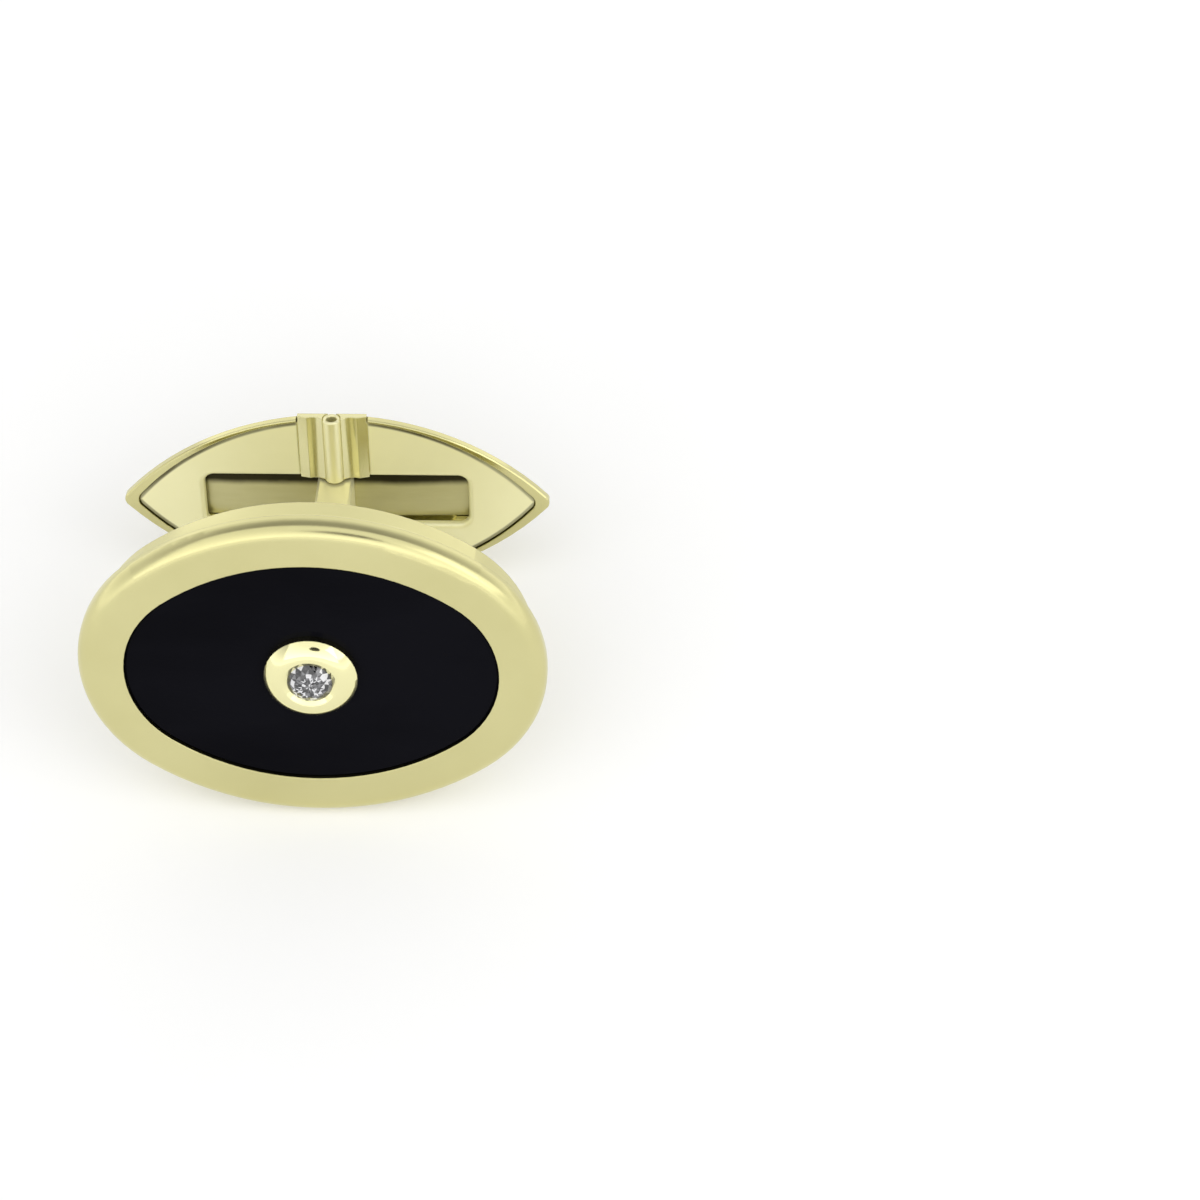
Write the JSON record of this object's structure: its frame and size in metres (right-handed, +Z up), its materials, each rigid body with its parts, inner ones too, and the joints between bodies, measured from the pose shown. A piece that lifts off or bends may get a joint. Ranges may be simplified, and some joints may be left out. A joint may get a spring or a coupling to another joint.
{
  "type": "cufflink",
  "caption": "Oval cufflink: polished coved metal case round a flat black stone with a small brilliant in a round collet, and a flared post with a hinged, pointed oval toggle.",
  "frame": {"origin": "On the floor, under the middle of the box of the cufflink as it lies on its rim's rear edge and on the flat lower end of its toggle's hinge boss.", "axes": "+X along the oval, -Y towards the side that the stone faces, +Z up. The face leans back by 14.83 degrees from upright."},
  "size_m": [0.0176, 0.0142, 0.0132],
  "materials": {
    "gold": "polished yellow gold",
    "onyx": "polished opaque black stone",
    "cement": "hidden jeweller's cement",
    "diamond": "faceted clear stone",
    "spring_steel": "hardened leaf"
  },
  "bodies": {
    "face": {"case_frame": "gold", "onyx_plate": "onyx", "onyx_cement": "cement", "back_plate": "gold", "collet": "gold", "diamond": "diamond", "post": "gold"},
    "toggle": {"toggle_shell": "gold", "toggle_front": "gold", "hinge_tube_upper": "gold", "hinge_tube_lower": "gold", "hinge_pin": "gold", "detent_spring": "spring_steel"}
  },
  "joints": [
    {"name": "toggle_flip", "type": "hinge", "parent": "face", "child": "toggle", "pos_m": [0, 0.00515, 0.00396], "axis": [0, 0.2559, 0.9667], "range_deg": [-75, 75], "deforming": ["detent_spring"]}
  ]
}
